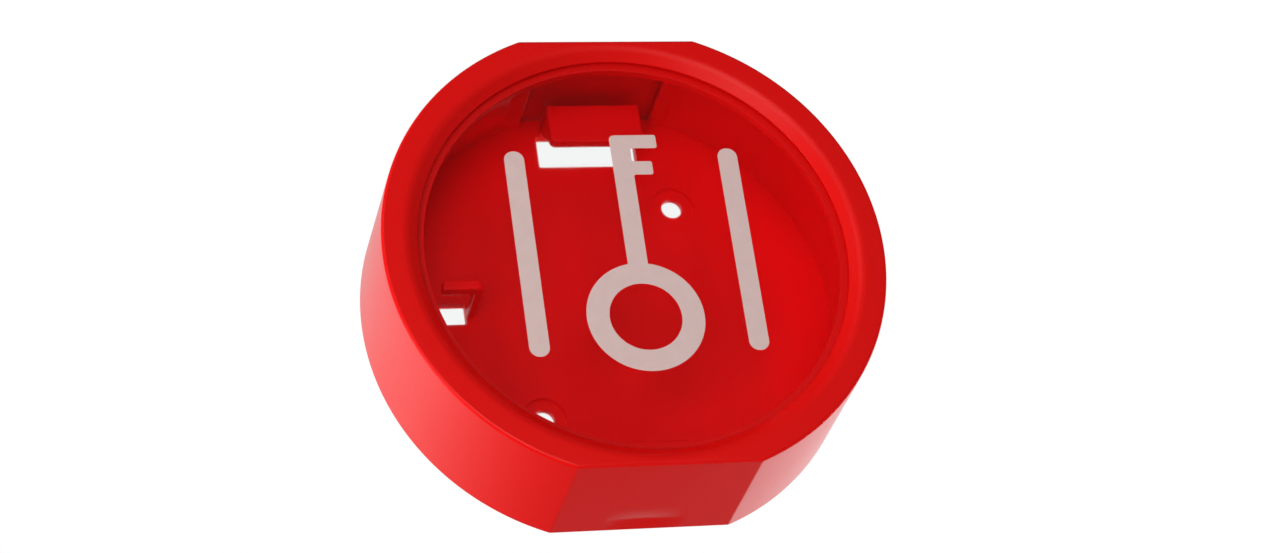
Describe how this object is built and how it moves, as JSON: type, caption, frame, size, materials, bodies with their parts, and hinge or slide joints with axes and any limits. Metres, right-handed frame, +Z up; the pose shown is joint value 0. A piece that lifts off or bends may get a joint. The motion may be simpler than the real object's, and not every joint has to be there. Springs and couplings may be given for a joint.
{
  "type": "break glass key box",
  "caption": "Round red wall-mounted emergency key box with two side flats, a clear breakable front pane under a dished lip, and a key hook inside.",
  "frame": {"origin": "centre of the back face, which rests on the wall", "axes": "+Y into the wall, -Y out of the front, +Z up as the box hangs (towards the key hook), +X to the right, with the two flats facing +X and -X"},
  "size_m": [0.1128, 0.036, 0.1208],
  "materials": {
    "cover_plastic": "moulded red plastic, soft gloss",
    "tray_plastic": "moulded red plastic, soft gloss",
    "ring_plastic": "moulded red plastic, soft gloss",
    "pane_glass": "clear, polished"
  },
  "bodies": {
    "tray": {"back_tray": "tray_plastic"},
    "cover": {"front_cover": "cover_plastic", "window_pane": "pane_glass", "pane_clip_ring": "ring_plastic"}
  },
  "joints": [
    {"name": "cover_pull", "type": "slide", "parent": "tray", "child": "cover", "axis": [0, -1, 0], "range_m": [0, 0.06]}
  ]
}
